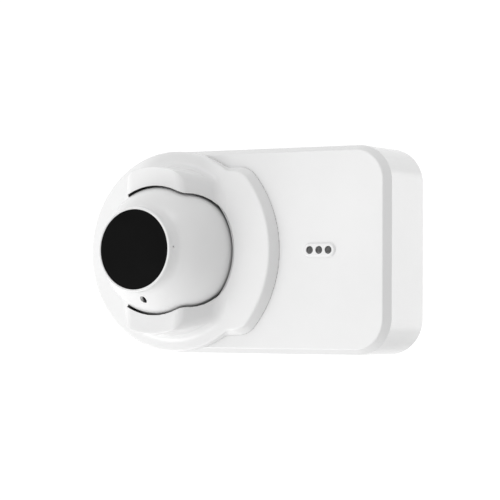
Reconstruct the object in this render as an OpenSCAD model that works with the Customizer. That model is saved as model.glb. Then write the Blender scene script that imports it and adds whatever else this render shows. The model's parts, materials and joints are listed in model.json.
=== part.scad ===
// Wall-mounted optical smoke detector head: a flat rounded housing with a swivelling eyeball.
// Every module is drawn face up, with z as the depth out from the wall, and on_wall() stands it up:
// +X runs along the housing, +Y runs into the wall, +Z is up, and the wall face lies at y = 0.

/* [Housing] */
// Overall width of the housing
body_w = 208; // [206:1:216]
// Overall height of the housing
body_h = 126; // [125:1:128]
// Depth from the wall to where the edge chamfer starts
rim_depth = 42.4; // [42:0.1:43]
// Depth from the wall to the flat front face
face_depth = 48.4; // [48:0.1:49]
// How far the chamfer steps in at the front face
face_inset = 3; // [2:0.5:4]
// Radius of the two right-hand corners
corner_r = 22; // [20:1:24]
// Moulded wall thickness
wall_t = 2.6; // [2.2:0.1:2.8]

/* [Head] */
// Radius of the round head
head_r = 62.3; // [62:0.1:62.5]
// Depth from the wall to the flat ring around the eyeball
ring_depth = 56; // [55.5:0.1:56.5]
// Radius of the raised wing where it meets the front face
wing_r = 71.8; // [70:0.1:74]
// Half of the wing's height where it meets the front face
wing_half_h = 52; // [50:0.5:54]
// How far the wing's bevel steps in
wing_bevel = 3.2; // [2:0.1:4]
// Radius of the opening that the eyeball looks through
opening_r = 43.7; // [43.5:0.1:44.6]

/* [Eyelids] */
// Inner radius of the two eyelids
lid_in_r = 43.1; // [42.9:0.05:43.2]
// Outer radius of the eyelids where they rise from the ring
lid_foot_r = 52.8; // [52:0.1:53.2]
// Outer radius of the eyelids at their front ridge
ridge_r = 51.4; // [51:0.1:52]
// Depth from the wall to the front ridge
ridge_depth = 81.3; // [81:0.1:82]
// Radius of the front opening between the eyelids at their inner edge
lip_r = 39.6; // [39:0.1:40]
// Distance of each slanted side face from the eyeball's centre
side_reach = 26.1; // [26:0.1:27]
// Slant of the side faces, a degree more than the furthest that the eyeball pans
side_slant = 60; // [59:1:61]
// Fillet where the eyelids rise from the ring
lid_fillet = 5; // [3:0.5:5]

/* [Eyeball] */
// Radius of the eyeball
ball_r = 41.6; // [41.3:0.05:42]
// Depth from the wall to the eyeball's centre
ball_depth = 61.3; // [61:0.1:61.6]
// Radius of the short snout
snout_r = 26; // [25.5:0.1:26.5]
// Depth from the wall to the snout's front
snout_depth = 101; // [99:0.5:102]
// Radius of the blend between snout and eyeball
neck_fillet = 8; // [6:0.5:9]
// Radius of the dark lens window
lens_r = 24.4; // [23.5:0.1:24.5]
// Distance of the alignment hole below the lens axis, which it runs along
tool_drop = 30.3; // [30:0.1:31]

/* [Mounting] */
// Wall screw spacing along the housing
screw_x = 150; // [146:1:152]
// Wall screw spacing up the housing
screw_z = 80; // [78:1:82]
// Radius of the wall screw holes
screw_hole_r = 2.25; // [2:0.05:2.5]
// Radius of the cable entry through the grommet
cable_r = 4.5; // [4:0.1:5]

/* [Indicators] */
// Middle of the indicator row along the housing
lamp_x = 58.2; // [56:0.2:59]
// Pitch of the three indicators
lamp_pitch = 6.4; // [6:0.1:6.6]
// Radius of an indicator
lamp_r = 2.3; // [2:0.1:2.4]

/* [Hidden] */
$fn = 96;

slip = 0.3;
eps = 0.01;
body_left = -body_w / 2;
body_right = body_w / 2;
end_r = body_h / 2;
end_x = body_left + end_r;
head_x = body_left + head_r + 0.2;
plate_inset = wall_t + slip;
plate_t = 3;
plate_wall_h = 12;
cover_back = 1;
seal_h = 1.6;

// Bearing pads, between the eyeball and the eyelids.
pad_gap = 0.25;
pad_r = 7.3;
pad_out_r = 44.3;
pivot_r = 2.5;
pivot_run = 0.05;
pivot_top = 49;

// Eyeball shell.
shell_t = 2.2;
shell_in_r = ball_r - shell_t;
ball_split = -13;
snout_len = snout_depth - ball_depth;
fillet_x = snout_r + neck_fillet;
fillet_z = sqrt(pow(ball_r + neck_fillet, 2) - pow(fillet_x, 2));
neck_foot = fillet_z * ball_r / (ball_r + neck_fillet);
window_t = 1.8;
bezel_r = 25;
barrel_r = 21;
barrel_tube_r = 14;
barrel_back = 4;
barrel_step = 31;
pin_hole_r = 0.7;
pin_hole_z = 35;
pin_hole_up = 1.4;
lens_set_back = 0.3;

// Lock screw, along the alignment hole.
tool_hole_r = 2.1;
lock_r = 3.2;
lock_run = 0.05;
lock_front = 20;
lock_back = 12.5;
boss_h = 20;

// Boards.
board_t = 1.6;
main_board_z = 33;
main_board_x = [10, 98];
board_half_h = 34;
term_board_z = 8;
term_board_x = [14, 94];
term_half_h = 32;
// Friction socket and the screws that clamp it, the cover and the shroud together.
socket_front = 52.6;
tab_t = 1.6;
socket_back = face_depth - wall_t - tab_t;
socket_out_r = 49.3;
seat_run = 0.3;
cover_hole_r = 49.8;
clamp_r = 54;
// Dust seal, whose lip stands in the opening a groove's width inside its edge.
seal_in_r = 41.5;
seal_lip_r = opening_r - 0.5;
seal_lip_w = 0.4;
seal_drop = 0.4;
funnel_h = 2.5;
post_r = 3;
tap_r = 1.25;
clear_r = 1.6;

// Cover screws, in through the underside.
cover_screw_x = [-32, 68];
cover_screw_z = 8;
cover_head_h = 1.3;

// Stands a part that was drawn face up against the wall.
module on_wall() {
    rotate([90, 0, 0])
        children();
}

// Moves children to the eyeball's centre.
module at_ball() {
    translate([head_x, 0, ball_depth])
        children();
}

// Copies children on the circle of the four clamp screws.
module at_clamps() {
    for (a = [45:90:315])
        translate([head_x, 0, 0])
            rotate([0, 0, a])
                translate([clamp_r, 0, 0])
                    children();
}

// Places children on the underside of the housing, pointing in, at the two cover screws.
module at_cover_screws() {
    for (x = cover_screw_x)
        translate([x, -body_h / 2, cover_screw_z])
            rotate([-90, 0, 0])
                children();
}

// Copies children at the four corners of a rectangle.
module at_corners(dx, dy) {
    for (sx = [-1, 1], sy = [-1, 1])
        translate([sx * dx / 2, sy * dy / 2, 0])
            children();
}

// Places children at the four screw posts of a board that spans x0 to x1.
module at_board_posts(span_x, half_h) {
    translate([(span_x[0] + span_x[1]) / 2, 0, 0])
        at_corners(span_x[1] - span_x[0] - 10, 2 * half_h - 10)
            children();
}

// Housing outline, shrunk by an inset: a half round on the left and two round corners on the right.
module outline(inset) {
    right = body_right - inset;
    half_h = body_h / 2 - inset;
    r = corner_r - inset;
    union() {
        translate([end_x, 0])
            circle(r = end_r - inset);
        translate([end_x, -half_h])
            square([right - r - end_x, 2 * half_h]);
        translate([end_x, -half_h + r])
            square([right - end_x, 2 * half_h - 2 * r]);
        for (s = [-1, 1])
            translate([right - r, s * (half_h - r)])
                circle(r = r);
    }
}

// Solid band of the housing outline whose edge leans in from low_inset to high_inset.
module chamfer_band(z0, z1, low_inset, high_inset) {
    h = z1 - z0;
    right0 = body_right - low_inset;
    right1 = body_right - high_inset;
    half0 = body_h / 2 - low_inset;
    half1 = body_h / 2 - high_inset;
    corner_x = body_right - corner_r;
    corner_y = body_h / 2 - corner_r;
    union() {
        translate([end_x, 0, z0])
            cylinder(h = h, r1 = half0, r2 = half1);
        for (s = [-1, 1])
            translate([corner_x, s * corner_y, z0])
                cylinder(h = h, r1 = corner_r - low_inset, r2 = corner_r - high_inset);
        translate([end_x, 0, z0])
            rotate([90, 0, 90])
                linear_extrude(corner_x - end_x)
                    polygon([[-half0, 0], [half0, 0], [half1, h], [-half1, h]]);
        translate([0, corner_y, z0])
            rotate([90, 0, 0])
                linear_extrude(2 * corner_y)
                    polygon([[end_x, 0], [right0, 0], [right1, h], [end_x, h]]);
    }
}

// Solid of the whole housing front, shrunk by an inset and stopped short of the face by drop.
module housing_solid(z0, inset, drop) {
    union() {
        translate([0, 0, z0])
            linear_extrude(rim_depth - drop - z0)
                outline(inset);
        chamfer_band(rim_depth - drop, face_depth - drop, inset, face_inset + inset);
    }
}

// Disc around the head's axis.
module head_disc(z0, z1, r) {
    translate([head_x, 0, z0])
        cylinder(h = z1 - z0, r = r);
}

// Raised wing to the right of the head, leaning in by the bevel towards its front.
module wing_solid(z0, z1, inset) {
    h = z1 - z0;
    intersection() {
        translate([head_x, 0, z0])
            cylinder(h = h, r1 = wing_r - inset, r2 = wing_r - wing_bevel - inset);
        translate([head_x, 0, z0])
            rotate([90, 0, 90])
                linear_extrude(wing_r)
                    polygon([
                        [-wing_half_h + inset, 0], [wing_half_h - inset, 0],
                        [wing_half_h - wing_bevel - inset, h], [-wing_half_h + wing_bevel + inset, h]
                    ]);
    }
}

// Space beyond both slanted side faces of the eyelids, about the eyeball's centre.
module side_space(inset) {
    for (s = [-1, 1])
        rotate([0, s * side_slant, 0])
            translate([-100, -100, side_reach - inset])
                cube([200, 200, 100]);
}

// Both eyelids as one collar about the eyeball's centre, shrunk by an inset and still filled inside.
module eyelid_solid(inset) {
    foot_z = ring_depth - ball_depth;
    ridge_z = ridge_depth - ball_depth;
    lip_z = sqrt(lid_in_r * lid_in_r - lip_r * lip_r);
    face_slope = (ridge_r - lip_r) / (ridge_z - lip_z);
    face_h = 6;
    difference() {
        translate([0, 0, foot_z - wall_t])
            cylinder(
                h = ridge_z - foot_z + wall_t - inset,
                r1 = lid_foot_r + 0.1 - inset,
                r2 = ridge_r - inset
            );
        translate([0, 0, ridge_z - face_h - inset])
            cylinder(h = face_h + eps, r1 = ridge_r - face_slope * face_h, r2 = ridge_r + face_slope * eps);
        side_space(inset);
    }
}

// Hollow inside each eyelid, leaving a moulded wall and a post for the pivot pin.
module eyelid_hollow() {
    difference() {
        intersection() {
            eyelid_solid(wall_t);
            union() {
                for (s = [-1, 1])
                    translate([-60, s > 0 ? 22 : -82, -60])
                        cube([120, 60, 120]);
            }
        }
        sphere(r = pad_out_r + 2);
        for (s = [-1, 1])
            rotate([-90 * s, 0, 0])
                cylinder(h = 60, r = pivot_r + 2.5);
        translate([-head_x, 0, -ball_depth])
            at_clamps()
                cylinder(h = ring_depth, r = post_r);
    }
}

// Fillet between the ring and the eyelids' outer wall.
module eyelid_skirt() {
    difference() {
        rotate_extrude()
            difference() {
                translate([opening_r, -eps])
                    square([lid_foot_r - opening_r + lid_fillet, lid_fillet]);
                translate([lid_foot_r + lid_fillet, lid_fillet])
                    circle(r = lid_fillet);
            }
        translate([0, 0, ball_depth - ring_depth])
            side_space(0);
    }
}

// Housing parts.

module back_plate() {
    color("gainsboro")
        on_wall()
            difference() {
                union() {
                    linear_extrude(plate_t)
                        outline(plate_inset);
                    translate([0, 0, plate_t - eps])
                        linear_extrude(plate_wall_h + eps)
                            difference() {
                                outline(plate_inset + 3);
                                outline(plate_inset + 5);
                            }
                    at_board_posts(term_board_x, term_half_h)
                        cylinder(h = term_board_z, r = 3.5);
                }
                at_corners(screw_x, screw_z)
                    translate([0, 0, -1])
                        cylinder(h = plate_t + 2, r = screw_hole_r);
                at_board_posts(term_board_x, term_half_h)
                    translate([0, 0, plate_t])
                        cylinder(h = term_board_z, r = tap_r);
                for (y = [-1, 1])
                    translate([0, y * 25, -1])
                        cylinder(h = plate_t + 2, r = 8);
                at_cover_screws()
                    cylinder(h = 12, r = tap_r);
            }
}

module main_cover() {
    color("white")
        on_wall()
            difference() {
                union() {
                    housing_solid(cover_back, 0, 0);
                    head_disc(rim_depth, face_depth, head_r);
                }
                difference() {
                    housing_solid(cover_back - 1, wall_t, wall_t);
                    at_board_posts(main_board_x, board_half_h)
                        translate([0, 0, main_board_z + board_t])
                            cylinder(h = 20, r = 3.5);
                }
                head_disc(face_depth - wall_t - 5, face_depth + 1, cover_hole_r);
                at_clamps()
                    translate([0, 0, face_depth - wall_t - 1])
                        cylinder(h = wall_t + 2, r = clear_r);
                at_board_posts(main_board_x, board_half_h)
                    translate([0, 0, main_board_z])
                        cylinder(h = 10, r = tap_r);
                translate([lamp_x, 0, face_depth - wall_t - 1])
                    for (i = [-1:1])
                        translate([i * lamp_pitch, 0, 0])
                            cylinder(h = wall_t + 2, r = lamp_r + 0.1);
                at_cover_screws()
                    union() {
                        translate([0, 0, -1])
                            cylinder(h = wall_t + 2, r = clear_r);
                        translate([0, 0, -1])
                            cylinder(h = cover_head_h + 1, r = 3);
                    }
            }
}

module head_shroud() {
    color("white")
        on_wall()
            difference() {
                union() {
                    difference() {
                        union() {
                            head_disc(face_depth, ring_depth - 0.8, head_r);
                            translate([head_x, 0, ring_depth - 0.8])
                                cylinder(h = 0.8, r1 = head_r, r2 = head_r - 0.8);
                            wing_solid(face_depth, ring_depth, 0);
                            translate([head_x, 0, ring_depth])
                                eyelid_skirt();
                        }
                        head_disc(face_depth - 1, ring_depth - wall_t, head_r - wall_t);
                        wing_solid(face_depth - 1, ring_depth - wall_t, wall_t);
                    }
                    at_ball()
                        eyelid_solid(0);
                    at_clamps()
                        translate([0, 0, face_depth])
                            cylinder(h = ring_depth - face_depth - 1, r = post_r);
                }
                head_disc(face_depth - 3, ring_depth + eps, opening_r);
                at_ball()
                    sphere(r = lid_in_r);
                at_ball()
                    eyelid_hollow();
                at_ball()
                    for (s = [-1, 1])
                        rotate([-90 * s, 0, 0])
                            union() {
                                cylinder(h = pivot_top + 0.5, r = pivot_r + pivot_run);
                                intersection() {
                                    sphere(r = pad_out_r + pad_gap);
                                    cylinder(h = 60, r = pad_r + pad_gap);
                                }
                            }
                at_clamps()
                    translate([0, 0, face_depth - 1])
                        cylinder(h = 5.6, r = tap_r);
            }
}

module cover_seal() {
    color("dimgray")
        on_wall()
            translate([0, 0, plate_t])
                linear_extrude(seal_h)
                    difference() {
                        outline(plate_inset + 0.4);
                        outline(plate_inset + 2.9);
                    }
}

module cover_screws() {
    color("silver")
        on_wall()
            at_cover_screws()
                difference() {
                    union() {
                        cylinder(h = cover_head_h, r = 2.8);
                        cylinder(h = 7.6, r = 1.2);
                    }
                    translate([-0.4, -3, -0.1])
                        cube([0.8, 6, 0.8]);
                }
}

module status_pad() {
    rise = 1.1;
    half_l = 11.1;
    half_w = 4.5;
    color("white")
        on_wall()
            translate([lamp_x, 0, face_depth])
                difference() {
                    union() {
                        for (s = [-1, 1])
                            translate([s * (half_l - half_w), 0, 0])
                                cylinder(h = rise, r1 = half_w, r2 = half_w - 0.9);
                        rotate([90, 0, 90])
                            translate([0, 0, -half_l + half_w])
                                linear_extrude(2 * (half_l - half_w))
                                    polygon([
                                        [-half_w, 0], [half_w, 0],
                                        [half_w - 0.9, rise], [-half_w + 0.9, rise]
                                    ]);
                    }
                    for (i = [-1:1])
                        translate([i * lamp_pitch, 0, -1])
                            cylinder(h = rise + 2, r = lamp_r + 0.1);
                }
}

module status_lenses() {
    color("dimgray")
        on_wall()
            for (i = [-1:1])
                translate([lamp_x + i * lamp_pitch, 0, 0])
                    union() {
                        translate([0, 0, face_depth - wall_t - 6])
                            cylinder(h = wall_t + 6.8, r = lamp_r);
                        translate([0, 0, face_depth + 0.8])
                            cylinder(h = 0.3, r1 = lamp_r, r2 = lamp_r - 0.4);
                        translate([0, 0, face_depth - wall_t - 1.2])
                            cylinder(h = 1.2, r = lamp_r + 0.6);
                    }
}

// Electronics.

module board(span_x, half_h, z0) {
    difference() {
        translate([span_x[0], -half_h, z0])
            cube([span_x[1] - span_x[0], 2 * half_h, board_t]);
        at_board_posts(span_x, half_h)
            translate([0, 0, z0 - 1])
                cylinder(h = board_t + 2, r = clear_r);
    }
}

module pan_head_screw(head_z, shank) {
    difference() {
        union() {
            translate([0, 0, head_z])
                cylinder(h = 1.6, r = 2.6);
            translate([0, 0, head_z - shank])
                cylinder(h = shank + eps, r = 1.2);
        }
        for (a = [0, 90])
            rotate([0, 0, a])
                translate([-1.6, -0.3, head_z + 0.8])
                    cube([3.2, 0.6, 1.2]);
    }
}

module main_board() {
    color("darkgreen")
        on_wall()
            board(main_board_x, board_half_h, main_board_z);
}

module board_chips() {
    color("black")
        on_wall()
            for (c = [[30, 18, 12, 12], [30, -8, 9, 9], [52, 20, 8, 5], [76, 18, 10, 7], [80, -12, 6, 6]])
                translate([c[0] - c[2] / 2, c[1] - c[3] / 2, main_board_z + board_t])
                    cube([c[2], c[3], 1.4]);
}

module status_leds() {
    color("lightyellow")
        on_wall()
            for (i = [-1:1])
                translate([lamp_x + i * lamp_pitch - 1, -0.6, main_board_z + board_t])
                    cube([2, 1.2, 0.9]);
}

module address_switch() {
    color("firebrick")
        on_wall()
            translate([66, -26, main_board_z + board_t])
                difference() {
                    cube([15, 7, 3.2]);
                    for (i = [0:4])
                        translate([1.6 + i * 2.6, 2, 2])
                            cube([1.4, 3, 2]);
                }
}

module board_socket() {
    color("black")
        on_wall()
            translate([54 - 14, 24, main_board_z - 8.6])
                difference() {
                    cube([28, 6, 8.6]);
                    for (i = [0:9])
                        translate([1.6 + i * 2.54, 2.4, -1])
                            cube([1.2, 1.2, 7]);
                }
}

module board_screws() {
    color("silver")
        on_wall()
            at_board_posts(main_board_x, board_half_h)
                mirror([0, 0, 1])
                    translate([0, 0, -main_board_z])
                        pan_head_screw(0, 6);
}

module terminal_board() {
    color("seagreen")
        on_wall()
            board(term_board_x, term_half_h, term_board_z);
}

module terminal_blocks() {
    ways = 7;
    pitch = 5.08;
    color("green")
        on_wall()
            for (y = [-24, -4])
                translate([54 - ways * pitch / 2, y - 5, term_board_z + board_t])
                    difference() {
                        cube([ways * pitch, 10, 9]);
                        for (i = [0:ways - 1])
                            translate([(i + 0.5) * pitch, 5, 3])
                                cylinder(h = 7, r = 1.9);
                        for (i = [0:ways - 1])
                            translate([(i + 0.5) * pitch - 1.6, -1, 1.6])
                                cube([3.2, 3.2, 3.4]);
                    }
}

module terminal_screws() {
    ways = 7;
    pitch = 5.08;
    color("silver")
        on_wall()
            for (y = [-24, -4], i = [0:ways - 1])
                translate([54 + (i + 0.5 - ways / 2) * pitch, y, term_board_z + board_t + 3])
                    difference() {
                        cylinder(h = 4.4, r = 1.8);
                        translate([-2, -0.3, 3.6])
                            cube([4, 0.6, 2]);
                    }
}

module pin_header() {
    color("black")
        on_wall()
            translate([54 - 14, 24, term_board_z + board_t])
                union() {
                    cube([28, 6, 3]);
                    for (i = [0:9])
                        translate([1.85 + i * 2.54, 2.65, 3 - eps])
                            cube([0.7, 0.7, 15.5]);
                }
}

module terminal_board_screws() {
    color("silver")
        on_wall()
            at_board_posts(term_board_x, term_half_h)
                pan_head_screw(term_board_z + board_t, 5.2);
}

module grommet_ring(r_hole) {
    difference() {
        union() {
            cylinder(h = plate_t + 0.2, r = 7.9);
            translate([0, 0, plate_t + 0.1])
                cylinder(h = 2, r = 10.5);
        }
        translate([0, 0, -1])
            cylinder(h = 8, r = r_hole);
    }
}

module cable_grommet() {
    color("dimgray")
        on_wall()
            translate([0, -25, 0])
                grommet_ring(cable_r);
}

module blanking_plug() {
    color("dimgray")
        on_wall()
            translate([0, 25, 0])
                difference() {
                    union() {
                        cylinder(h = plate_t + 0.2, r = 7.9);
                        translate([0, 0, plate_t + 0.1])
                            cylinder(h = 2, r = 10.5);
                    }
                    translate([0, 0, -1])
                        cylinder(h = 4, r = 5.5);
                }
}

// Friction socket behind the eyeball.

module socket_ring() {
    color("gray")
        on_wall()
            difference() {
                union() {
                    head_disc(socket_back, socket_front, socket_out_r);
                    at_clamps()
                        translate([-8, -4, socket_back])
                            cube([11, 8, tab_t]);
                }
                at_ball()
                    sphere(r = ball_r + seat_run);
                at_clamps()
                    translate([0, 0, socket_back - 1])
                        cylinder(h = 5, r = clear_r);
            }
}

module dust_seal() {
    color("black")
        on_wall()
            difference() {
                union() {
                    head_disc(socket_front + 0.1, ring_depth - wall_t - 0.1, socket_out_r - 0.3);
                    head_disc(socket_front + 0.1, ring_depth - seal_drop, seal_lip_r);
                }
                head_disc(socket_front - 1, ring_depth, seal_in_r);
                translate([head_x, 0, ring_depth - seal_drop - funnel_h])
                    cylinder(h = funnel_h + 0.1, r1 = seal_in_r, r2 = seal_lip_r - seal_lip_w);
                at_ball()
                    rotate([90, 0, 0])
                        cylinder(h = 120, r = pad_r + pad_gap, center = true);
            }
}

module clamp_screws() {
    color("silver")
        on_wall()
            at_clamps()
                translate([0, 0, socket_back])
                    mirror([0, 0, 1])
                        pan_head_screw(0, 8);
}

// Spherical pad with its pivot pin, for one pole of the eyeball.
module bearing_pad() {
    union() {
        intersection() {
            difference() {
                sphere(r = pad_out_r);
                sphere(r = ball_r + pad_gap);
            }
            cylinder(h = 60, r = pad_r);
        }
        translate([0, 0, ball_r + pad_gap + 0.6])
            cylinder(h = pivot_top - ball_r - pad_gap - 0.6, r = pivot_r);
    }
}

module upper_bearing_pad() {
    color("ivory")
        on_wall()
            at_ball()
                rotate([-90, 0, 0])
                    bearing_pad();
}

module lower_bearing_pad() {
    color("ivory")
        on_wall()
            at_ball()
                rotate([90, 0, 0])
                    bearing_pad();
}

// Eyeball.

// Places children, drawn along z, on the axis of the alignment hole.
module along_tool_hole() {
    translate([0, -tool_drop, 0])
        children();
}

// Outer form of the snout with its blend into the eyeball.
module snout_solid() {
    rotate_extrude()
        difference() {
            translate([0, neck_foot])
                square([fillet_x, snout_len - neck_foot]);
            translate([fillet_x, fillet_z])
                circle(r = neck_fillet);
            translate([snout_r, fillet_z])
                square([neck_fillet + 1, snout_len]);
        }
}

module ball_front_shell() {
    color("white")
        on_wall()
            at_ball()
                difference() {
                    union() {
                        difference() {
                            sphere(r = ball_r);
                            sphere(r = shell_in_r);
                            translate([-60, -60, -60 + ball_split])
                                cube([120, 120, 60]);
                        }
                        snout_solid();
                        intersection() {
                            along_tool_hole()
                                translate([0, 0, lock_back - 1])
                                    cylinder(h = boss_h, r = lock_r + 2);
                            sphere(r = ball_r - 0.5);
                        }
                    }
                    translate([0, 0, barrel_step - 3])
                        cylinder(h = 20, r = barrel_r + 0.1);
                    translate([0, 0, snout_len - 3])
                        cylinder(h = 4, r = bezel_r + 0.05);
                    translate([snout_r - 2, pin_hole_up, pin_hole_z])
                        rotate([0, 90, 0])
                            cylinder(h = 10, r = pin_hole_r);
                    along_tool_hole()
                        translate([0, 0, lock_front])
                            cylinder(h = 20, r = tool_hole_r);
                    along_tool_hole()
                        translate([0, 0, lock_back - 2])
                            cylinder(h = lock_front - lock_back + 2.3, r = lock_r + lock_run);
                }
}

module ball_rear_shell() {
    color("whitesmoke")
        on_wall()
            at_ball()
                difference() {
                    union() {
                        intersection() {
                            difference() {
                                sphere(r = ball_r);
                                sphere(r = shell_in_r);
                            }
                            translate([-60, -60, -60 + ball_split - 0.05])
                                cube([120, 120, 60]);
                        }
                        for (a = [0:120:240])
                            rotate([0, 0, a + 30])
                                translate([30, 0, -25])
                                    cylinder(h = 11, r = 3);
                    }
                    for (a = [0:120:240])
                        rotate([0, 0, a + 30])
                            translate([30, 0, -17])
                                cylinder(h = 5, r = tap_r);
                    translate([0, 0, -60])
                        cylinder(h = 30, r = 5);
                }
}

module lens_bezel() {
    color("white")
        on_wall()
            at_ball()
                difference() {
                    translate([0, 0, snout_len - 2.9])
                        cylinder(h = 2.9, r = bezel_r);
                    translate([0, 0, snout_len - 4])
                        cylinder(h = 5, r = lens_r);
                }
}

module lens_window() {
    color("black")
        on_wall()
            at_ball()
                translate([0, 0, snout_len - lens_set_back - window_t])
                    cylinder(h = window_t, r = lens_r - 0.05);
}

module lens_barrel() {
    front = snout_len - 3.1;
    color("dimgray")
        on_wall()
            at_ball()
                difference() {
                    union() {
                        translate([0, 0, barrel_back])
                            cylinder(h = front - barrel_back, r = barrel_tube_r);
                        translate([0, 0, barrel_step])
                            cylinder(h = front - barrel_step, r = barrel_r);
                    }
                    translate([0, 0, barrel_back + 3])
                        cylinder(h = barrel_step - barrel_back, r1 = 7, r2 = barrel_tube_r - 1.5);
                    translate([0, 0, barrel_step + 1.6])
                        cylinder(h = 10, r = barrel_r - 2);
                    cylinder(h = 20, r = 7);
                }
}

module imager_board() {
    color("darkgreen")
        on_wall()
            at_ball()
                translate([0, 0, -14 + 0.1])
                    difference() {
                        cylinder(h = board_t, r = 34);
                        for (a = [0:120:240])
                            rotate([0, 0, a + 30])
                                translate([30, 0, -1])
                                    cylinder(h = 4, r = clear_r);
                    }
}

module image_sensor() {
    color("black")
        on_wall()
            at_ball()
                translate([-6, -6, -14 + 0.1 + board_t])
                    cube([12, 12, 2]);
}

module ball_screws() {
    color("silver")
        on_wall()
            at_ball()
                for (a = [0:120:240])
                    rotate([0, 0, a + 30])
                        translate([30, 0, -14 + 0.1 + board_t])
                            pan_head_screw(0, 4);
}

module lock_screw() {
    color("silver")
        on_wall()
            at_ball()
                along_tool_hole()
                    difference() {
                        translate([0, 0, lock_back])
                            cylinder(h = lock_front - lock_back, r = lock_r);
                        translate([-2.1, -0.5, lock_front - 1.4])
                            cube([4.2, 1, 2]);
                    }
}

back_plate();
main_cover();
head_shroud();
cover_seal();
cover_screws();
status_pad();
status_lenses();
main_board();
board_chips();
status_leds();
address_switch();
board_socket();
board_screws();
terminal_board();
terminal_blocks();
terminal_screws();
pin_header();
terminal_board_screws();
cable_grommet();
blanking_plug();
socket_ring();
dust_seal();
clamp_screws();
upper_bearing_pad();
lower_bearing_pad();
ball_front_shell();
ball_rear_shell();
lens_bezel();
lens_window();
lens_barrel();
imager_board();
image_sensor();
ball_screws();
lock_screw();
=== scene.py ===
"""Looks of the wall-mounted optical smoke detector head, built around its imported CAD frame.

Lengths are in millimetres until a mesh is made. A point is given as (x, up, depth): x along the
housing, up, and depth out from the wall, so the row frame's Y is minus the depth.
"""

import json
import math

import bmesh
import bpy
import numpy as np
from mathutils import Matrix, Vector


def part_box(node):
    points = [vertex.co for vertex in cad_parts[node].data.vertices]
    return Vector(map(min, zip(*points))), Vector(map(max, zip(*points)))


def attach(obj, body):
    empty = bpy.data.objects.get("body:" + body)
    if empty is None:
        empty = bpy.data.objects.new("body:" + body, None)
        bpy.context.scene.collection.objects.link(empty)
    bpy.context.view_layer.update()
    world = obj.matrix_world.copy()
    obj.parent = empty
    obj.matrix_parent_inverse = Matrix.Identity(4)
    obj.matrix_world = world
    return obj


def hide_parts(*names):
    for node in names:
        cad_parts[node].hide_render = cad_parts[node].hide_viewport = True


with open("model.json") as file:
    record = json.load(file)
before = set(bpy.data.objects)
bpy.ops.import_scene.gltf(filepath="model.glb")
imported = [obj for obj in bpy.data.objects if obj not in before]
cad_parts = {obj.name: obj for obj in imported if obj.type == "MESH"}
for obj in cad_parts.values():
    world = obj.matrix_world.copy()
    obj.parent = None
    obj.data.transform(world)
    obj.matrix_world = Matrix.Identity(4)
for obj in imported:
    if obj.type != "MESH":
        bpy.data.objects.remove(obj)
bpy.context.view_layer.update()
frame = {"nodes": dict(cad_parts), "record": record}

MM = 0.001

# ------------------------------------------------------------------ sizes, in millimetres


def span(node, axis):
    """Lowest and highest coordinate of a CAD node along x, depth or up, in millimetres."""
    low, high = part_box(node)
    if axis == "depth":
        return -high.y / MM, -low.y / MM
    k = {"x": 0, "up": 2}[axis]
    return low[k] / MM, high[k] / MM


def half_span(node, axis):
    """Half the width of a CAD node along x, depth or up, in millimetres."""
    low, high = span(node, axis)
    return (high - low) / 2


# From the frame. Names without _R, _X or _H are depths from the wall, or lengths.
# The rear shell's box ends at the rim of its cable hole, so BALL_DEPTH lies 0.3 mm further out
# than the joints' centre.
RING_RISE = 7.6
BODY_LEFT, BODY_RIGHT = span("main_cover", "x")
HALF_H = half_span("main_cover", "up")
COVER_BACK, FACE = span("main_cover", "depth")
RING = span("head_shroud", "depth")[0] + RING_RISE
BALL_R = half_span("ball_front_shell", "x")
HEAD_X = sum(span("lens_window", "x")) / 2
SNOUT_FRONT = span("ball_front_shell", "depth")[1]
BALL_DEPTH = span("ball_rear_shell", "depth")[0] + BALL_R
LENS_R = half_span("lens_window", "x")

# Housing: the chamfer runs from RIM to FACE.
RIM = FACE - 6
FACE_INSET = 3
CORNER_R = 22
WALL = 2.6
HEAD_R = 62.3
HEAD_HOLE_R = 49.8
END_X = BODY_LEFT + HALF_H

# Head shroud: wing, opening, and the seats of the bearing pads with their pivots.
WING_R = 71.8
WING_HALF_H = 52
WING_BEVEL = 3.2
WING_CORNER_R = 4
WING_JOIN_R = 1.3
PLATE_EDGE_R = 1.1
OPENING_R = 43.7
OPENING_EDGE_R = 0.3
PAD_POCKET_R = 7.55
PAD_POCKET_OUT = 44.55
PIVOT_R = 2.6
PIVOT_OUT = 49.5

# Eyelids: the inner face is a sphere about the eyeball's centre, and the front face is a cone
# from the lip out to the ridge.
LID_IN_R = 43.1
LID_FOOT_R = 52.8
RIDGE_R = 51.4
RIDGE = 81.3
LIP_R = 39.6
LIP = BALL_DEPTH + math.sqrt(LID_IN_R**2 - LIP_R**2)
SIDE_REACH = 26.1
SIDE_SLANT = math.radians(60)
LID_FILLET = 4.8
LID_EDGE_R = 0.9
LID_SIDE_EDGE_R = 3.5
LIP_EDGE_R = 0.45

# Eyeball: lengths along the snout are from the eyeball's centre.
SNOUT_R = 26
SNOUT_LEN = SNOUT_FRONT - BALL_DEPTH
NECK_FILLET = 8
SHELL_IN_R = BALL_R - 2.2
BALL_SPLIT = -13
SPLIT_GAP = 0.05
BEZEL_R = 25
BEZEL_SEAT = 3
FIT_GAP = 0.05
BARREL_SEAT = 11
BARREL_SEAT_R = 21.1
REAR_HOLE_R = 5
TOOL_DROP = 30.3
TOOL_R = 2.1
TOOL_FLOOR = 21
PIN_R = 0.7
PIN_UP = 1.4
PIN_OUT = 35
PIN_FROM, PIN_TO = 24, 34

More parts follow.
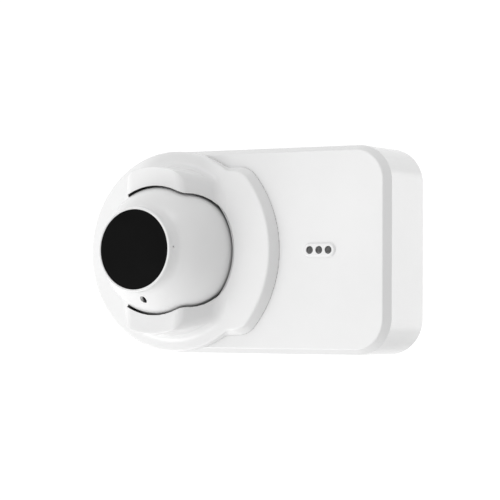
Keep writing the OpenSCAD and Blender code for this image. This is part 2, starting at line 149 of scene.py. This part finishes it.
# Status pad, its lamps and the cover screws.
PAD_X = sum(span("status_lenses", "x")) / 2
PAD_RISE = span("status_pad", "depth")[1] - FACE
PAD_HALF_L = half_span("status_pad", "x")
PAD_HALF_W = half_span("status_pad", "up")
LAMP_PITCH = 6.4
LAMP_R = 2.3
LAMP_GAP = 0.1
COVER_SCREW_X = (-32, 68)
COVER_SCREW_DEPTH = 8
COVER_SCREW_HEAD_R = 3
COVER_SCREW_HEAD_DEEP = 1.3
COVER_SCREW_R = 1.6

# ------------------------------------------------------------------ camera


def add_camera():
    """Camera at the fitted viewing angle: to the right of the head and a little below it."""
    azimuth, elevation, roll = (math.radians(v) for v in (30.955, -1.704, -0.292))
    distance = 1360.8 * MM
    target = Vector((-4.764, -25, 1.315)) * MM
    back = Vector(
        (
            math.sin(azimuth) * math.cos(elevation),
            -math.cos(azimuth) * math.cos(elevation),
            math.sin(elevation),
        )
    )
    right = Vector((math.cos(azimuth), math.sin(azimuth), 0))
    up = back.cross(right)
    turned_right = right * math.cos(roll) - up * math.sin(roll)
    turned_up = right * math.sin(roll) + up * math.cos(roll)
    data = bpy.data.cameras.new("camera")
    data.sensor_width = 36
    data.lens = 156.2
    data.clip_start = 0.01
    data.clip_end = 50
    camera = bpy.data.objects.new("camera", data)
    bpy.context.scene.collection.objects.link(camera)
    turn = Matrix((turned_right, turned_up, back)).transposed().to_4x4()
    camera.matrix_world = Matrix.Translation(target + back * distance) @ turn
    bpy.context.scene.camera = camera


# ------------------------------------------------------------------ mesh helpers


def to_frame(points):
    """Row-frame metres from (x, up, depth) millimetres."""
    p = np.asarray(points, float)
    return np.stack([p[..., 0], -p[..., 2], p[..., 1]], axis=-1) * MM


def new_piece(name, points, faces, clean=True):
    """Mesh object from (x, up, depth) points, with its faces turned out."""
    mesh = bpy.data.meshes.new(name)
    mesh.from_pydata(to_frame(points).reshape(-1, 3).tolist(), [], faces)
    piece = bpy.data.objects.new(name, mesh)
    bpy.context.scene.collection.objects.link(piece)
    bm = bmesh.new()
    bm.from_mesh(mesh)
    if clean:
        bmesh.ops.remove_doubles(bm, verts=bm.verts, dist=1e-7)
        bmesh.ops.dissolve_degenerate(bm, dist=1e-7, edges=bm.edges)
    bmesh.ops.recalc_face_normals(bm, faces=bm.faces)
    bm.to_mesh(mesh)
    bm.free()
    return piece


def sheet_faces(n_rings, n_round, wrap_rings):
    """Quads of a grid of rings, each ring closed, and the rings joined end to end if wrap_rings."""
    faces = []
    for i in range(n_rings if wrap_rings else n_rings - 1):
        a, b = i * n_round, ((i + 1) % n_rings) * n_round
        for j in range(n_round):
            k = (j + 1) % n_round
            faces.append((a + j, a + k, b + k, b + j))
    return faces


def rounded(corners, closed=False, steps=6):
    """Polyline through (u, v, radius) corners, each corner with a radius turned into an arc."""
    out = []
    last = len(corners) - 1
    for i, (u, v, r) in enumerate(corners):
        here = Vector((u, v))
        if r == 0 or (not closed and i in (0, last)):
            out.append((u, v))
            continue
        before = (Vector(corners[i - 1][:2]) - here).normalized()
        after = (Vector(corners[(i + 1) % len(corners)][:2]) - here).normalized()
        half = before.angle(after) / 2
        centre = here + (before + after).normalized() * (r / math.sin(half))
        start = here + before * (r / math.tan(half)) - centre
        end = here + after * (r / math.tan(half)) - centre
        a0 = math.atan2(start.y, start.x)
        turn = math.atan2(end.y, end.x) - a0
        turn = (turn + math.pi) % (2 * math.pi) - math.pi
        for k in range(steps + 1):
            a = a0 + turn * k / steps
            out.append((centre.x + r * math.cos(a), centre.y + r * math.sin(a)))
    return out


def arc(centre, r, a0, a1, steps):
    """Points of an arc in the profile plane, angles in radians."""
    angles = np.linspace(a0, a1, steps + 1)
    return [(centre[0] + r * math.cos(a), centre[1] + r * math.sin(a)) for a in angles]


def revolve(name, profile, centre=(0, 0, 0), n_round=128):
    """Closed profile of (r, z) points turned about a line along the depth axis through centre."""
    t = np.linspace(0, 2 * math.pi, n_round, endpoint=False)
    rings = []
    for r, z in profile:
        ring = np.stack([r * np.cos(t), r * np.sin(t), np.full(n_round, z)], axis=-1)
        rings.append(ring + np.array(centre))
    return new_piece(name, np.array(rings), sheet_faces(len(profile), n_round, True))


def outline(inset, corner_steps=14, end_steps=64):
    """Housing outline shrunk by inset, as (x, up) points: a half round and two round corners."""
    left = [
        (END_X + u, v)
        for u, v in arc((0, 0), HALF_H - inset, math.pi * 1.5, math.pi * 0.5, end_steps)
    ]
    r = CORNER_R - inset
    cx, cy = BODY_RIGHT - CORNER_R, HALF_H - CORNER_R
    top = arc((cx, cy), r, math.pi / 2, 0, corner_steps)
    bottom = arc((cx, -cy), r, 0, -math.pi / 2, corner_steps)
    return left + top + bottom


def loft(name, ring_of, profile):
    """Closed skin over the outlines ring_of(inset) at each (inset, depth) of the profile."""
    rings = [[(x, up, depth) for x, up in ring_of(inset)] for inset, depth in profile]
    n = len(rings[0])
    faces = sheet_faces(len(rings), n, False)
    faces.append(tuple(range(n)))
    faces.append(tuple(range((len(rings) - 1) * n, len(rings) * n)))
    return new_piece(name, np.array(rings), faces)


def combine(piece, others, operation):
    """Exact boolean of piece with others, which are used up."""
    for other in others:
        step = piece.modifiers.new("step", "BOOLEAN")
        step.operation = operation
        step.object = other
        step.solver = "EXACT"
        settle(piece)
        bpy.data.objects.remove(other)
    return piece


def settle(piece):
    """Applies a piece's modifiers to its mesh."""
    depsgraph = bpy.context.evaluated_depsgraph_get()
    mesh = bpy.data.meshes.new_from_object(piece.evaluated_get(depsgraph))
    piece.modifiers.clear()
    piece.data = mesh


def smooth(piece, sharp_angle=35):
    """Smooth shading that breaks at edges over sharp_angle degrees, with large faces kept flat."""
    for polygon in piece.data.polygons:
        polygon.use_smooth = True
    piece.data.set_sharp_from_angle(angle=math.radians(sharp_angle))
    weighted = piece.modifiers.new("normals", "WEIGHTED_NORMAL")
    weighted.keep_sharp = True
    weighted.weight = 100


def round_and(a, b, r):
    """Distance field of the part inside both a and b, with the edge between them rounded by r."""
    return np.minimum(-r, np.maximum(a, b)) + np.hypot(np.maximum(r + a, 0), np.maximum(r + b, 0))


def round_or(a, b, r):
    """Distance field of a and b together, with the inner corner between them filled to radius r."""
    return np.maximum(r, np.minimum(a, b)) - np.hypot(np.maximum(r - a, 0), np.maximum(r - b, 0))


def surface_net(name, field, low, high, pitch):
    """Quad mesh of the surface where field(x, up, depth) is zero, with its points drawn onto it."""
    axes = [np.arange(a, b + pitch, pitch) for a, b in zip(low, high)]
    value = field(*np.meshgrid(*axes, indexing="ij"))
    inside = value < 0
    nx, ny, nz = (n - 1 for n in value.shape)
    corners = sum(
        inside[i : i + nx, j : j + ny, k : k + nz].astype(np.int8)
        for i in (0, 1)
        for j in (0, 1)
        for k in (0, 1)
    )
    cut = (corners > 0) & (corners < 8)
    index = np.full(cut.shape, -1, np.int64)
    index[cut] = np.arange(cut.sum())
    total = np.zeros((cut.sum(), 3))
    count = np.zeros(cut.sum())
    quads = []
    for axis in range(3):
        v = np.moveaxis(value, axis, 0)
        cells = np.moveaxis(index, axis, 0)
        crossing = (v[:-1] < 0) != (v[1:] < 0)
        i, j, k = np.nonzero(crossing[:, 1:-1, 1:-1])
        j, k = j + 1, k + 1
        t = v[i, j, k] / (v[i, j, k] - v[i + 1, j, k])
        grid = np.stack([i + t, j, k], axis=-1)
        order = [axis] + [n for n in range(3) if n != axis]
        point = np.empty_like(grid)
        point[:, order] = grid
        around = [cells[i, j - 1, k - 1], cells[i, j, k - 1], cells[i, j, k], cells[i, j - 1, k]]
        for cell in around:
            np.add.at(total, cell, point)
            np.add.at(count, cell, 1)
        quads.append(np.stack(around, axis=-1))
    points = total / count[:, None] * pitch + np.array(low)
    probe, flattest = 0.01, 0.05
    for _ in range(4):
        here = field(*points.T)
        slope = np.stack(
            [
                field(*(points + step).T) - field(*(points - step).T)
                for step in np.eye(3) * probe
            ],
            axis=-1,
        ) / (2 * probe)
        size = np.maximum((slope**2).sum(axis=-1), flattest)
        move = slope * (here / size)[:, None]
        points -= np.clip(move, -pitch / 2, pitch / 2)
    return new_piece(name, points, np.concatenate(quads).tolist(), clean=False)


def merge_flats(piece):
    """Joins faces that lie in one plane, so that only curved stretches stay dense."""
    same_plane = math.radians(0.1)
    bm = bmesh.new()
    bm.from_mesh(piece.data)
    bmesh.ops.dissolve_limit(
        bm,
        angle_limit=same_plane,
        verts=bm.verts,
        edges=bm.edges,
        use_dissolve_boundaries=False,
    )
    bm.to_mesh(piece.data)
    bm.free()


# ------------------------------------------------------------------ materials


def node_material(name):
    """Empty principled material, with its tree, shader and a texture coordinate in metres."""
    material = bpy.data.materials.new(name)
    material.use_nodes = True
    tree = material.node_tree
    shader = tree.nodes["Principled BSDF"]
    coords = tree.nodes.new("ShaderNodeTexCoord")
    return material, tree, shader, coords.outputs["Object"]


def noise(tree, coords, scale, detail=3.0, roughness=0.5):
    """Noise texture at a scale given per metre."""
    node = tree.nodes.new("ShaderNodeTexNoise")
    node.inputs["Scale"].default_value = scale
    node.inputs["Detail"].default_value = detail
    node.inputs["Roughness"].default_value = roughness
    tree.links.new(coords, node.inputs["Vector"])
    return node.outputs["Fac"]


def ramp(tree, value, stops):
    """Colour ramp of (position, colour) stops, colour being linear grey or RGB."""
    node = tree.nodes.new("ShaderNodeValToRGB")
    elements = node.color_ramp.elements
    while len(elements) < len(stops):
        elements.new(0.5)
    for element, (position, colour) in zip(elements, stops):
        element.position = position
        rgb = colour if isinstance(colour, tuple) else (colour, colour, colour)
        element.color = (*rgb, 1)
    tree.links.new(value, node.inputs["Fac"])
    return node.outputs["Color"]


def spread(tree, value, low, high, start=0, full=1):
    """Maps a value between start and full onto low to high."""
    node = tree.nodes.new("ShaderNodeMapRange")
    node.inputs["From Min"].default_value = start
    node.inputs["From Max"].default_value = full
    node.inputs["To Min"].default_value = low
    node.inputs["To Max"].default_value = high
    tree.links.new(value, node.inputs["Value"])
    return node.outputs["Result"]


def bump(tree, shader, height, strength, distance):
    """Bump from a height, distance in metres."""
    node = tree.nodes.new("ShaderNodeBump")
    node.inputs["Strength"].default_value = strength
    node.inputs["Distance"].default_value = distance
    tree.links.new(height, node.inputs["Height"])
    tree.links.new(node.outputs["Normal"], shader.inputs["Normal"])


def moulded_plastic(name, dark, light, gloss, grain):
    """Injection-moulded plastic: faint flow tone, uneven gloss and a fine skin texture."""
    material, tree, shader, coords = node_material(name)
    tree.links.new(
        ramp(tree, noise(tree, coords, 18, 4), [(0.3, dark), (0.7, light)]),
        shader.inputs["Base Color"],
    )
    tree.links.new(
        spread(tree, noise(tree, coords, 60, 5), gloss - 0.03, gloss + 0.03),
        shader.inputs["Roughness"],
    )
    bump(tree, shader, noise(tree, coords, grain, 2), 0.12, 0.00002)
    shader.inputs["IOR"].default_value = 1.5
    return material


def shade_painted_plastic(name, dark, light, gloss, grain):
    """Moulded plastic with painted shade: near-black on the eyelids' faces next to the eyeball, and
    a thin dark line at its foot.
    """
    material = moulded_plastic(name, dark, light, gloss, grain)
    tree = material.node_tree
    shader = next(n for n in tree.nodes if n.type == "BSDF_PRINCIPLED")
    coords = next(n for n in tree.nodes if n.type == "TEX_COORD").outputs["Object"]
    plain = shader.inputs["Base Color"].links[0].from_socket
    reach = tree.nodes.new("ShaderNodeVectorMath")
    reach.operation = "DISTANCE"
    reach.inputs[1].default_value = to_frame((HEAD_X, 0, BALL_DEPTH))
    tree.links.new(coords, reach.inputs[0])
    # Painted shade: faces within this distance of the eyeball's centre, the eyelids' inner faces,
    # turn near-black in place of the shade in the narrow gap round the eyeball.
    painted_shade_reach = (LID_IN_R + 0.15) * MM, (LID_IN_R + 0.25) * MM
    outside = spread(tree, reach.outputs["Value"], 0, 1, *painted_shade_reach)
    axes = tree.nodes.new("ShaderNodeSeparateXYZ")
    tree.links.new(coords, axes.inputs["Vector"])
    # Painted shade: a thin band just above the cover's face is mixed most of the way to near-black,
    # standing in for the shade in the seam at the shroud's foot.
    foot = -(FACE + 0.25) * MM, -(FACE + 0.4) * MM
    clear_of_foot_shade = spread(tree, axes.outputs["Y"], 0.25, 1, *foot)
    clear = tree.nodes.new("ShaderNodeMath")
    clear.operation = "MULTIPLY"
    tree.links.new(outside, clear.inputs[0])
    tree.links.new(clear_of_foot_shade, clear.inputs[1])
    mix = tree.nodes.new("ShaderNodeMix")
    mix.data_type = "RGBA"
    # Near-black colour of the painted shade.
    mix.inputs["A"].default_value = (0.012, 0.012, 0.012, 1)
    tree.links.new(clear.outputs["Value"], mix.inputs["Factor"])
    tree.links.new(plain, mix.inputs["B"])
    tree.links.new(mix.outputs["Result"], shader.inputs["Base Color"])
    return material


def brushed_steel(name):
    """Zinc-plated screw steel with turning marks."""
    material, tree, shader, coords = node_material(name)
    shader.inputs["Metallic"].default_value = 1.0
    marks = [(0.35, (0.52, 0.52, 0.53)), (0.7, (0.68, 0.68, 0.69))]
    tree.links.new(
        ramp(tree, noise(tree, coords, 900, 4), marks), shader.inputs["Base Color"]
    )
    tree.links.new(
        spread(tree, noise(tree, coords, 2500, 3), 0.25, 0.42), shader.inputs["Roughness"]
    )
    bump(tree, shader, noise(tree, coords, 6000, 2), 0.2, 0.00002)
    return material


def circuit_board(name):
    """Green solder resist over darker and lighter copper tracks."""
    material, tree, shader, coords = node_material(name)
    tracks = tree.nodes.new("ShaderNodeTexVoronoi")
    tracks.distance = "CHEBYCHEV"
    tracks.feature = "DISTANCE_TO_EDGE"
    tracks.inputs["Scale"].default_value = 260
    tree.links.new(coords, tracks.inputs["Vector"])
    greens = [(0.02, (0.03, 0.2, 0.09)), (0.1, (0.015, 0.11, 0.05))]
    tree.links.new(ramp(tree, tracks.outputs["Distance"], greens), shader.inputs["Base Color"])
    tree.links.new(spread(tree, noise(tree, coords, 300), 0.3, 0.42), shader.inputs["Roughness"])
    bump(tree, shader, tracks.outputs["Distance"], 0.3, 0.00003)
    return material


def dark_window(name):
    """Near-black infrared window with a faint sheen."""
    material, tree, shader, coords = node_material(name)
    tree.links.new(
        ramp(tree, noise(tree, coords, 30, 3), [(0.3, 0.003), (0.7, 0.005)]),
        shader.inputs["Base Color"],
    )
    tree.links.new(spread(tree, noise(tree, coords, 80), 0.42, 0.5), shader.inputs["Roughness"])
    bump(tree, shader, noise(tree, coords, 3000, 2), 0.05, 0.00001)
    shader.inputs["IOR"].default_value = 1.3
    shader.inputs["Specular IOR Level"].default_value = 0.1
    return material


def lamp_lens(name):
    """Smoked light guide with an uneven tone."""
    material, tree, shader, coords = node_material(name)
    tree.links.new(
        ramp(tree, noise(tree, coords, 700, 3), [(0.3, 0.045), (0.7, 0.1)]),
        shader.inputs["Base Color"],
    )
    tree.links.new(spread(tree, noise(tree, coords, 400), 0.18, 0.28), shader.inputs["Roughness"])
    bump(tree, shader, noise(tree, coords, 1500, 2), 0.1, 0.00003)
    return material


# Slot: darker tone, lighter tone, roughness and the scale of the skin texture per metre.
PLASTICS = {
    "white_gloss": (0.80, 0.83, 0.24, 2200),
    "inner_plastic": (0.74, 0.78, 0.42, 1800),
    "black_rubber": (0.018, 0.03, 0.7, 3000),
    "black_plastic": (0.014, 0.024, 0.45, 2600),
    "lamp_cream": ((0.7, 0.64, 0.4), (0.78, 0.72, 0.5), 0.3, 3000),
    "switch_red": ((0.36, 0.02, 0.02), (0.45, 0.035, 0.03), 0.35, 2600),
    "terminal_green": ((0.02, 0.22, 0.08), (0.03, 0.28, 0.11), 0.38, 2600),
    "grey_plastic": (0.18, 0.23, 0.42, 2400),
    "bearing_black": (0.01, 0.018, 0.5, 2600),
}
MATERIALS = {slot: moulded_plastic(slot, *look) for slot, look in PLASTICS.items()}
MATERIALS["screw_steel"] = brushed_steel("screw_steel")
MATERIALS["smoked_lens"] = lamp_lens("smoked_lens")
MATERIALS["board_green"] = circuit_board("board_green")
MATERIALS["dark_lens"] = dark_window("dark_lens")


def paint(piece, slot):
    """Gives a piece or CAD node the material of a slot."""
    piece.data.materials.clear()
    piece.data.materials.append(MATERIALS[slot])


def finish_piece(piece, body, slot, *nodes, sharp_angle=35):
    """Shades and paints a piece, sets it on its body and hides the CAD nodes it stands for."""
    smooth(piece, sharp_angle)
    paint(piece, slot)
    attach(piece, body)
    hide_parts(*nodes)


# ------------------------------------------------------------------ housing


def cylinder_between(name, centre, r, z0, z1, n_round=48):
    """Plain cutter along the depth axis."""
    return revolve(name, [(0, z0), (r, z0), (r, z1), (0, z1)], centre, n_round=n_round)


def upright_cylinder(name, x, depth, r, up0, up1, n_round=40):
    """Plain cutter along the up axis."""
    t = np.linspace(0, 2 * math.pi, n_round, endpoint=False)
    rings = [
        [(x + r_at * math.cos(a), up, depth + r_at * math.sin(a)) for a in t]
        for r_at, up in ((0, up0), (r, up0), (r, up1), (0, up1))
    ]
    return new_piece(name, np.array(rings), sheet_faces(4, n_round, True))


def make_cover():
    """Main cover: open shell with soft edges, head opening, lamp holes and screw pockets."""
    outside = [
        (0, COVER_BACK, 0),
        (0, RIM, 1.6),
        (FACE_INSET, FACE, 1.2),
        (FACE_INSET + 2, FACE, 0),
    ]
    inside = [
        (FACE_INSET + WALL + 2, FACE - WALL, 0),
        (FACE_INSET + WALL, FACE - WALL, 0.5),
        (WALL, RIM - WALL, 0.5),
        (WALL, COVER_BACK, 0),
    ]
    cover = loft("cover_outside", outline, rounded(outside))
    hollow = loft("cover_hollow", outline, [(WALL, COVER_BACK - 2)] + rounded(inside)[::-1][1:])
    disc = revolve(
        "cover_disc",
        [(0, RIM - 1), (HEAD_R, RIM - 1), (HEAD_R, FACE), (0, FACE)],
        (HEAD_X, 0, 0),
        n_round=192,
    )
    combine(cover, [disc], "UNION")
    cutters = [
        hollow,
        cylinder_between("cut", (HEAD_X, 0, 0), HEAD_HOLE_R, FACE - WALL - 5, FACE + 1, 128),
    ]
    for i in (-1, 0, 1):
        centre = (PAD_X + i * LAMP_PITCH, 0, 0)
        hole_r = LAMP_R + LAMP_GAP
        cutters.append(cylinder_between("cut", centre, hole_r, FACE - WALL - 1, FACE + 1))
    for x in COVER_SCREW_X:
        for r, deep in (
            (COVER_SCREW_HEAD_R, COVER_SCREW_HEAD_DEEP),
            (COVER_SCREW_R, WALL + 1),
        ):
            low, high = -HALF_H - 1, -HALF_H + deep
            cutters.append(upright_cylinder("cut", x, COVER_SCREW_DEPTH, r, low, high))
    combine(cover, cutters, "DIFFERENCE")
    cover.name = "cover_shell"
    finish_piece(cover, "housing", "white_gloss", "main_cover")


def shroud_field(x, up, depth):
    """Distance field of the head shroud: drum and wing, with both eyelids blended into the ring."""
    x = x - HEAD_X
    r = np.hypot(x, up)
    lean = WING_BEVEL / (RING - FACE)
    upright = 1 / math.hypot(1, lean)
    step_in = lean * (depth - FACE)
    wing_end = (r - WING_R + step_in) * upright
    wing_side = (np.abs(up) - WING_HALF_H + step_in) * upright
    wing = np.maximum(round_and(wing_end, wing_side, WING_CORNER_R), -x)
    plan = round_or(r - HEAD_R, wing, WING_JOIN_R)
    plate = round_and(plan, depth - RING, PLATE_EDGE_R)

    rise = depth - BALL_DEPTH
    draft = (LID_FOOT_R - RIDGE_R) / (RIDGE - RING)
    wall = (r - LID_FOOT_R + draft * (depth - RING)) / math.hypot(1, draft)
    face_dr, face_dz = RIDGE_R - LIP_R, RIDGE - LIP
    front = face_dr * (depth - RIDGE) - face_dz * (r - RIDGE_R)
    front = front / math.hypot(face_dr, face_dz)
    side = np.abs(x) * math.sin(SIDE_SLANT) + rise * math.cos(SIDE_SLANT) - SIDE_REACH
    collar = round_and(round_and(wall, front, LID_EDGE_R), side, LID_SIDE_EDGE_R)

    ball_gap = LID_IN_R - np.sqrt(r**2 + rise**2)
    body = round_or(plate, collar, LID_FILLET)
    body = round_and(body, ball_gap, LIP_EDGE_R)
    body = round_and(body, np.minimum(OPENING_R - r, side), OPENING_EDGE_R)
    hollow = np.minimum(-plan - WALL, RING - WALL - depth)
    pole = np.hypot(x, rise)
    pivot = np.minimum(PIVOT_R - pole, PIVOT_OUT - np.abs(up))
    pocket = np.minimum(PAD_POCKET_R - pole, PAD_POCKET_OUT - np.hypot(r, rise))
    body = np.maximum(body, np.maximum(hollow, np.maximum(pivot, pocket)))
    return np.maximum(body, FACE - depth)


def make_shroud():
    """Head shroud, as one moulding. Uneven margins keep its flat faces off the grid's points."""
    low = (HEAD_X - HEAD_R - 1.17, -HEAD_R - 1.13, FACE - 1.19)
    high = (HEAD_X + WING_R + 1, HEAD_R + 1, RIDGE + 1)
    shroud = surface_net("head_cowl", shroud_field, low, high, 0.6)
    merge_flats(shroud)
    finish_piece(shroud, "housing", "white_gloss", "head_shroud", sharp_angle=50)
    # Its material adds painted shade next to the eyeball and at the shroud's foot.
    shroud.data.materials[0] = shade_painted_plastic("cowl_gloss", *PLASTICS["white_gloss"])


# ------------------------------------------------------------------ eyeball


def make_ball_front():
    """Front shell with its snout, soft neck, alignment hole and pin hole."""
    reach = BALL_R + NECK_FILLET
    fillet_r = SNOUT_R + NECK_FILLET
    fillet_z = math.sqrt(reach**2 - fillet_r**2)
    foot_angle = math.atan2(fillet_z, fillet_r)
    split_angle = math.asin(BALL_SPLIT / BALL_R)
    in_angle = math.asin(BALL_SPLIT / SHELL_IN_R)
    profile = arc((0, 0), BALL_R, split_angle, foot_angle, 40)
    profile += arc((fillet_r, fillet_z), NECK_FILLET, foot_angle + math.pi, math.pi, 12)[1:]
    profile += rounded(
        [
            (SNOUT_R, fillet_z + 0.5, 0),
            (SNOUT_R, SNOUT_LEN, 0.6),
            (BEZEL_R + FIT_GAP, SNOUT_LEN, 0.1),
            (BEZEL_R + FIT_GAP, SNOUT_LEN - BEZEL_SEAT, 0),
            (BARREL_SEAT_R, SNOUT_LEN - BEZEL_SEAT, 0),
            (BARREL_SEAT_R, SNOUT_LEN - BARREL_SEAT, 0),
        ]
    )
    inner_angle = math.acos(BARREL_SEAT_R / SHELL_IN_R)
    profile += arc((0, 0), SHELL_IN_R, inner_angle, in_angle, 30)
    shell = revolve("snout_shell", profile, (HEAD_X, 0, BALL_DEPTH), n_round=192)

    centre = (HEAD_X, -TOOL_DROP, BALL_DEPTH)
    tool = cylinder_between("cut", centre, TOOL_R, TOOL_FLOOR, BALL_R - 4, 64)
    t = np.linspace(0, 2 * math.pi, 24, endpoint=False)
    pin_rings = [
        [
            (HEAD_X + x, PIN_UP + r * math.sin(a), BALL_DEPTH + PIN_OUT + r * math.cos(a))
            for a in t
        ]
        for x, r in ((PIN_FROM, 0), (PIN_FROM, PIN_R), (PIN_TO, PIN_R), (PIN_TO, 0))
    ]
    pin = new_piece("cut", np.array(pin_rings), sheet_faces(4, len(t), True))
    combine(shell, [tool, pin], "DIFFERENCE")
    finish_piece(shell, "eyeball", "white_gloss", "ball_front_shell")


def make_ball_rear():
    """Rear shell, a plain bowl with its cable hole."""
    split_angle = math.asin((BALL_SPLIT - SPLIT_GAP) / BALL_R)
    in_angle = math.asin((BALL_SPLIT - SPLIT_GAP) / SHELL_IN_R)
    profile = arc((0, 0), BALL_R, split_angle, -math.acos(REAR_HOLE_R / BALL_R), 40)
    profile += arc((0, 0), SHELL_IN_R, -math.acos(REAR_HOLE_R / SHELL_IN_R), in_angle, 40)
    shell = revolve("rear_shell", profile, (HEAD_X, 0, BALL_DEPTH), n_round=192)
    finish_piece(shell, "eyeball", "white_gloss", "ball_rear_shell")


def make_window():
    """Thin white bezel and the dark window behind its lip."""
    low, high = SNOUT_LEN - BEZEL_SEAT + 0.1, SNOUT_LEN
    bezel = revolve(
        "window_bezel",
        rounded(
            [
                (BEZEL_R, low, 0.1),
                (BEZEL_R, high, 0.15),
                (LENS_R + FIT_GAP, high, 0.35),
                (LENS_R + FIT_GAP, low, 0.1),
            ],
            closed=True,
        ),
        (HEAD_X, 0, BALL_DEPTH),
        n_round=192,
    )
    finish_piece(bezel, "eyeball", "white_gloss", "lens_bezel")
    back, front = (depth - BALL_DEPTH for depth in span("lens_window", "depth"))
    disc = rounded([(0, back, 0), (LENS_R, back, 0.2), (LENS_R, front, 0.3), (0, front, 0)])
    window = revolve("dark_window", disc, (HEAD_X, 0, BALL_DEPTH), n_round=192)
    finish_piece(window, "eyeball", "dark_lens", "lens_window")


# ------------------------------------------------------------------ indicators


def pad_outline(inset, steps=24):
    """Lozenge outline of the status pad, shrunk by inset."""
    r = PAD_HALF_W - inset
    run = PAD_HALF_L - PAD_HALF_W
    right = arc((PAD_X + run, 0), r, -math.pi / 2, math.pi / 2, steps)
    left = arc((PAD_X - run, 0), r, math.pi / 2, math.pi * 1.5, steps)
    return right + left


def make_pad():
    """Raised lozenge with a soft edge and three seats for the lamps."""
    top = FACE + PAD_RISE
    profile = rounded([(0, FACE, 0), (0.1, FACE + 0.2, 0.2), (0.9, top, 0.8), (2, top, 0)])
    pad = loft("status_bezel", pad_outline, profile)
    cutters = []
    for i in (-1, 0, 1):
        centre = (PAD_X + i * LAMP_PITCH, 0, 0)
        cutters.append(
            cylinder_between("cut", centre, LAMP_R + LAMP_GAP, FACE - 1, FACE + 3, 64)
        )
    combine(pad, cutters, "DIFFERENCE")
    finish_piece(pad, "housing", "white_gloss", "status_pad")


def make_lamps():
    """Three domed light guides, joined in one piece."""
    low, high = span("status_lenses", "depth")
    parts = []
    for i in (-1, 0, 1):
        crown = rounded(
            [
                (0, low, 0),
                (LAMP_R, low, 0),
                (LAMP_R, high - 0.5, 0.25),
                (LAMP_R - 0.9, high - 0.1, 1.2),
                (0, high, 0),
            ],
            steps=8,
        )
        parts.append(revolve("lamp", crown, (PAD_X + i * LAMP_PITCH, 0, 0), n_round=64))
    combine(parts[0], parts[1:], "UNION")
    parts[0].name = "status_lamps"
    finish_piece(parts[0], "housing", "smoked_lens", "status_lenses")


# ------------------------------------------------------------------ the rest of the CAD nodes


def dress_cad_nodes():
    """Gives each CAD node its slot's material and softens its hard edges for the eye."""
    slots = {s["node"]: s["material_slot"] for s in frame["record"]["subparts"]}
    for name, node in frame["nodes"].items():
        paint(node, slots[name])
        if node.hide_render:
            continue
        join = node.modifiers.new("join", "WELD")
        join.merge_threshold = 1e-6
        edge = node.modifiers.new("edge", "BEVEL")
        edge.width = 0.00015
        edge.segments = 2
        edge.limit_method = "ANGLE"
        edge.angle_limit = math.radians(50)


# ------------------------------------------------------------------ studio

# Brightness of the studio all round, and its regions: azimuth, elevation, the cosines of the angle
# at which a region starts and is full, and what it adds.
STUDIO_LEVEL = 0.82
STUDIO_REGIONS = [
    (0, -25, 0.3, 0.9, 0.2),
    (50, 0, 0.5, 0.9, -0.15),
    (88, 0, 0.5, 0.85, -0.25),
    (0, 85, 0.5, 0.9, -0.2),
    (150, 0, 0.5, 0.9, 0.42),
    (-120, 0, 0.5, 0.9, 0.26),
]
# Name, azimuth, elevation, distance, width and height in metres, and power in watts.
SOFTBOXES = [
    ("upper_left", -30, 25, 1.3, 0.9, 0.9, 0.7),
    ("lower_left", -50, -40, 0.9, 0.5, 0.4, 1.8),
    ("low_front", -10, -35, 1.0, 0.6, 0.5, 1.3),
    ("behind_right", 140, 0, 1.0, 0.5, 0.7, 1.5),
    ("overhead", 0, 60, 0.9, 0.8, 0.3, 1.2),
]


def direction(azimuth, elevation):
    """Unit vector in the row frame: azimuth 0 is straight out from the wall, 90 is the right."""
    a, e = math.radians(azimuth), math.radians(elevation)
    return Vector((math.sin(a) * math.cos(e), -math.cos(a) * math.cos(e), math.sin(e)))


def add_world():
    """Pale studio all round, with brighter and darker regions that fade in around a direction."""
    world = bpy.data.worlds.new("studio")
    bpy.context.scene.world = world
    world.use_nodes = True
    tree = world.node_tree
    coords = tree.nodes.new("ShaderNodeTexCoord")
    background = tree.nodes["Background"]
    level = None
    for azimuth, elevation, start, full, strength in STUDIO_REGIONS:
        towards = tree.nodes.new("ShaderNodeVectorMath")
        towards.operation = "DOT_PRODUCT"
        towards.inputs[1].default_value = direction(azimuth, elevation)
        tree.links.new(coords.outputs["Generated"], towards.inputs[0])
        region = spread(tree, towards.outputs["Value"], 0, strength, start, full)
        total = tree.nodes.new("ShaderNodeMath")
        total.operation = "ADD"
        total.inputs[0].default_value = STUDIO_LEVEL
        if level is not None:
            tree.links.new(level, total.inputs[0])
        tree.links.new(region, total.inputs[1])
        level = total.outputs["Value"]
    tree.links.new(level, background.inputs["Color"])


def add_softbox(name, azimuth, elevation, distance, width, height, power):
    """Area light that looks at the middle of the head from that direction."""
    data = bpy.data.lights.new(name, "AREA")
    data.shape = "RECTANGLE"
    data.size = width
    data.size_y = height
    data.energy = power
    light = bpy.data.objects.new(name, data)
    bpy.context.scene.collection.objects.link(light)
    way = direction(azimuth, elevation)
    light.location = way * distance
    light.rotation_mode = "QUATERNION"
    light.rotation_quaternion = (-way).to_track_quat("-Z", "Y")


def add_floor():
    """Pale round floor below the object."""
    radius, height, n_round = 1500, -800, 96
    t = np.linspace(0, 2 * math.pi, n_round, endpoint=False)
    points = [(radius * math.cos(a), height, radius * math.sin(a)) for a in t]
    floor = new_piece("floor", points, [tuple(range(n_round))])
    material, tree, shader, coords = node_material("pale_floor")
    tone = ramp(tree, noise(tree, coords, 3, 3), [(0.3, 0.86), (0.7, 0.88)])
    tree.links.new(tone, shader.inputs["Base Color"])
    shader.inputs["Roughness"].default_value = 0.8
    floor.data.materials.append(material)


add_camera()
add_world()
add_floor()
for softbox in SOFTBOXES:
    add_softbox(*softbox)
bpy.context.scene.view_settings.view_transform = "Standard"

make_cover()
make_shroud()
make_ball_front()
make_ball_rear()
make_window()
make_pad()
make_lamps()
dress_cad_nodes()
